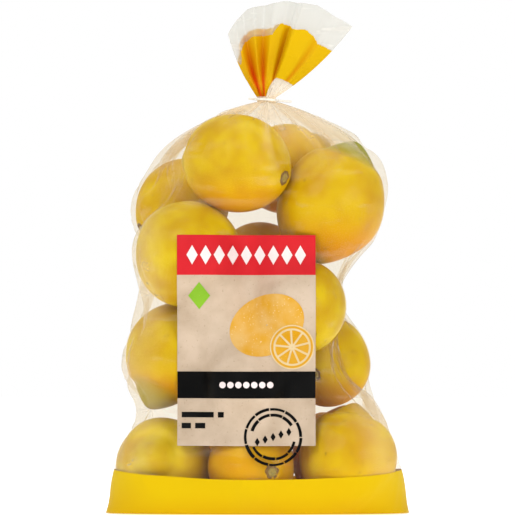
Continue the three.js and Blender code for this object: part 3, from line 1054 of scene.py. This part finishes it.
def make_label(film):
    """The label's fields and shapes, each ink a piece of its own laid on the film."""
    left, right = LABEL_X - LABEL_WIDE / 2, LABEL_X + LABEL_WIDE / 2
    low, high = LABEL_Z - LABEL_TALL / 2, LABEL_Z + LABEL_TALL / 2
    paper, red, black, white, green, ochre, pale, wedge = (Drawing() for _ in range(8))
    paper.rectangle(left, low, right, BLACK_FROM)
    paper.rectangle(left, BLACK_TO, right, RED_FROM)
    red.rectangle(left, RED_FROM, right, high)
    black.rectangle(left, BLACK_FROM, right, BLACK_TO)

    row = LABEL_WIDE - 2 * LOZENGE_MARGIN
    for k in range(LOZENGES):
        x = left + LOZENGE_MARGIN + row * (k + 0.5) / LOZENGES
        white.blob(lozenge(x, (RED_FROM + high) / 2, LOZENGE_WIDE, LOZENGE_TALL))
    for k in range(-3, 4):
        x = LABEL_X + k * DOT_SPACING
        white.blob(oval(x, (BLACK_FROM + BLACK_TO) / 2, DOT_RADIUS, DOT_RADIUS))

    green.blob(lozenge(*GREEN_MARK))
    ochre.blob(oval(*FRUIT))
    pale.blob(oval(SLICE_X, SLICE_Z, SLICE_FIELD, SLICE_FIELD))
    draw_slice(wedge)
    for x0, x1, z in BARS:
        black.rectangle(x0, z - BAR_TALL / 2, x1, z + BAR_TALL / 2)
    draw_stamp(black)

    # Piece, drawing, ink, its colour, its worn colour, how much flecks show, layer and slot.
    inks = [
        ("panel_paper", paper, "paper-brown ink", "#C6B29C", "#9E8970", 0.5, 1, "label_print"),
        ("panel_red", red, "red ink", "#C8232A", "#B41B25", 0.1, 1, "label_red"),
        ("panel_ochre", ochre, "ochre ink", "#CC9412", "#D8BE8C", 0.9, 2, "label_print"),
        ("panel_pale", pale, "pale ochre ink", "#D8C39A", "#CDB27C", 0.3, 3, "label_print"),
        ("panel_wedge", wedge, "ochre ink of the slice", "#C98F06", "#D3A94A", 0.6, 4, "label_print"),
        ("panel_green", green, "leaf-green ink", "#83B32F", "#71A026", 0.2, 2, "label_print"),
        ("panel_black", black, "black ink", "#010101", "#0B0A09", 0.3, 2, "label_black"),
        ("panel_white", white, "white ink", "#E6DAD8", "#DCC6C4", 0.3, 3, "label_print"),
    ]
    for name, drawing, ink, colour, worn, fleck, layer, slot in inks:
        lay(name, drawing, film, INK_LIFT * layer, ink_material(ink, colour, worn, fleck))


# ---- stem buttons and tie ----

# A button's section: share of its radius, and height above the peel.
BUTTON_PROFILE = [
    (1.0, -1.3), (1.02, 0.2), (0.93, 0.75), (0.8, 0.8), (0.66, 0.35), (0.56, 0.7),
    (0.45, 1.05), (0.3, 1.1), (0.18, 0.7), (0.02, 0.65),
]
BUTTON_AROUND = 60
SEVEN_LOBES, THREE_LOBES = 0.06, 0.05  # how far each wave of lobes goes in and out, as shares
WAVY = 0.25  # share by which its height varies round it


def stem_material():
    """The dried button where the stalk broke off: dull and corky, green in the middle, brown outside."""
    material, tree = new_material("dried stem button")
    place = add(tree, "ShaderNodeTexCoord").outputs["Object"]
    outer = add(tree, "ShaderNodeAttribute", {"attribute_name": "outer"}).outputs["Fac"]
    cork = add(tree, "ShaderNodeTexNoise", inputs={"Vector": place, "Scale": every(1.1), "Detail": 3.0})
    middle = add(
        tree,
        "ShaderNodeMix",
        {"data_type": "RGBA"},
        {"Factor": cork.outputs["Fac"], "A": linear("#6A6A1E"), "B": linear("#B89C58")},
    )
    rim = add(
        tree,
        "ShaderNodeMix",
        {"data_type": "RGBA"},
        {"Factor": cork.outputs["Fac"], "A": linear("#4A2E12"), "B": linear("#94723C")},
    )
    tone = add(
        tree,
        "ShaderNodeMix",
        {"data_type": "RGBA"},
        {"Factor": outer, "A": middle.outputs["Result"], "B": rim.outputs["Result"]},
    )
    bump = add(
        tree, "ShaderNodeBump", inputs={"Strength": 0.6, "Distance": 0.0004, "Height": cork.outputs["Fac"]}
    )
    shader = add(
        tree,
        "ShaderNodeBsdfPrincipled",
        inputs={"Base Color": tone.outputs["Result"], "Roughness": 0.8, "Normal": bump.outputs[0]},
    )
    add(tree, "ShaderNodeOutputMaterial", inputs={"Surface": shader.outputs[0]})
    return material


def make_stem_button(index, lemon, material):
    """A low rosette of uneven lobes round a raised scar."""
    turn = TAU * np.arange(BUTTON_AROUND) / BUTTON_AROUND
    phase = np.random.default_rng(SEED + 300 + index).uniform(0, TAU, 2)
    lobes = SEVEN_LOBES * np.cos(7 * turn + phase[0]) + THREE_LOBES * np.cos(3 * turn + phase[1])
    axes = frame_of(-stem_way(lemon))
    end = peel_radius(lemon, index, stem_way(lemon)[None])[0]
    points, outer = [], []
    for share, height in BUTTON_PROFILE:
        radius = STEM_BUTTON * share * (1 + lobes * min(1.0, share * 1.2))
        rise = height * (1 + WAVY * np.cos(5 * turn + phase[1]) * share)
        local = np.stack([radius * np.cos(turn), radius * np.sin(turn), -end - rise], -1)
        points.append(local @ axes + np.array(lemon["at"], float))
        outer.append(np.full(BUTTON_AROUND, ramp(share, 0.5, 0.72)))
    faces = [face[::-1] for face in tube_faces(len(points), BUTTON_AROUND)]
    points = np.array(points).reshape(-1, 3)
    piece = new_piece(f"stem_button_{index + 1:02d}", points, faces, material)
    give(piece, "outer", outer)


def tie_material():
    """The tie: a strip of soft white plastic, satin, with an uneven surface.

    Its real unevenness is finer than a millimetre and is drawn coarser, so that it shows.
    """
    material, tree = new_material("white plastic tie strip")
    place = add(tree, "ShaderNodeTexCoord").outputs["Object"]
    uneven = add(tree, "ShaderNodeTexNoise", inputs={"Vector": place, "Scale": every(3.3), "Detail": 2.0})
    tone = add(
        tree,
        "ShaderNodeMix",
        {"data_type": "RGBA"},
        {"Factor": uneven.outputs["Fac"], "A": linear("#F4F1EA"), "B": linear("#DDD8CC")},
    )
    bump = add(
        tree,
        "ShaderNodeBump",
        inputs={"Strength": 0.4, "Distance": 0.0002, "Height": uneven.outputs["Fac"]},
    )
    shader = add(
        tree,
        "ShaderNodeBsdfPrincipled",
        inputs={
            "Base Color": tone.outputs["Result"],
            "Roughness": 0.4,
            "IOR": 1.46,
            "Normal": bump.outputs[0],
        },
    )
    add(tree, "ShaderNodeOutputMaterial", inputs={"Surface": shader.outputs[0]})
    return material


# ---- studio ----

LIGHTS_AIM = (0.0, 0.0, 0.14)  # the studio's own sizes and places are in metres
SOFTBOXES = [  # name, place, size across, watts
    ("key", (-1.1, -1.9, 1.9), 1.6, 31),
    ("fill", (1.9, -1.9, 0.35), 1.6, 28),
    ("top", (0.0, 0.2, 2.2), 1.8, 16),
]
AIR_LIGHT = 0.5
DOME_RADIUS = 8.0
FLOOR_RADIUS = 7.9
FLOOR_Z = -0.0003
FLOOR_GLOW = 0.56


def camera():
    """A long lens that takes in FRAME_WIDTH at the bag's middle."""
    view = bpy.data.cameras.new("view")
    view.sensor_width = SENSOR
    eye, target = Vector(EYE), Vector(LOOK_AT)
    view.lens = SENSOR * (target - eye).length / FRAME_WIDTH
    view.clip_end = 100
    holder = bpy.data.objects.new("view", view)
    holder.location = eye * MM
    holder.rotation_euler = (target - eye).to_track_quat("-Z", "Y").to_euler()
    bpy.context.scene.collection.objects.link(holder)
    bpy.context.scene.camera = holder


def lights():
    """Even white air and three soft boxes, for a soft studio light from the upper left."""
    scene = bpy.context.scene
    world = bpy.data.worlds.new("studio air")
    world.use_nodes = True
    world.node_tree.nodes["Background"].inputs["Color"].default_value = linear("#FFFFFF")
    world.node_tree.nodes["Background"].inputs["Strength"].default_value = AIR_LIGHT
    scene.world = world
    scene.view_settings.view_transform = "Standard"
    scene.cycles.transparent_max_bounces = 32
    for name, place, size, power in SOFTBOXES:
        light = bpy.data.lights.new(name, "AREA")
        light.shape = "DISK"
        light.size = size
        light.energy = power
        box = bpy.data.objects.new(name, light)
        box.location = place
        aim = Vector(LIGHTS_AIM) - Vector(place)
        box.rotation_euler = aim.to_track_quat("-Z", "Y").to_euler()
        scene.collection.objects.link(box)


def glowing(name, colour, strength):
    """Paper that also glows white, so it stays white all the way to the edge of the view."""
    material, tree = new_material(name)
    paper = add(tree, "ShaderNodeBsdfDiffuse", inputs={"Color": linear(colour)})
    glow = add(tree, "ShaderNodeEmission", inputs={"Color": linear("#FFFFFF"), "Strength": strength})
    both = add(tree, "ShaderNodeAddShader", inputs={0: paper.outputs[0], 1: glow.outputs[0]})
    add(tree, "ShaderNodeOutputMaterial", inputs={"Surface": both.outputs[0]})
    return material


def studio_room():
    """A white floor in a white dome. The dome shows to the eye and in the film, but lights nothing."""
    bpy.ops.mesh.primitive_circle_add(
        vertices=96, radius=FLOOR_RADIUS, fill_type="NGON", location=(0, 0, FLOOR_Z)
    )
    floor = bpy.context.active_object
    floor.name = "floor"
    floor.data.materials.append(glowing("white paper floor", "#F8F8F8", FLOOR_GLOW))
    bpy.ops.mesh.primitive_uv_sphere_add(segments=64, ring_count=32, radius=DOME_RADIUS)
    dome = bpy.context.active_object
    dome.name = "dome"
    dome.data.materials.append(glowing("white backdrop", "#000000", 1.0))
    dome.visible_diffuse = False
    dome.visible_transmission = False
    dome.visible_shadow = False
    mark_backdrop(floor, dome)


def main():
    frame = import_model()
    cad_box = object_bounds()
    camera()
    lights()
    studio_room()
    peel = peel_material()
    button = stem_material()
    for index, lemon in enumerate(LEMONS):
        make_lemon(index, lemon, peel)
        make_stem_button(index, lemon, button)
    make_film(frame)
    plastic = tie_material()
    for slot in frame["nodes"]["tie"].material_slots:
        slot.material = plastic
    return cad_box


cad_box = main()
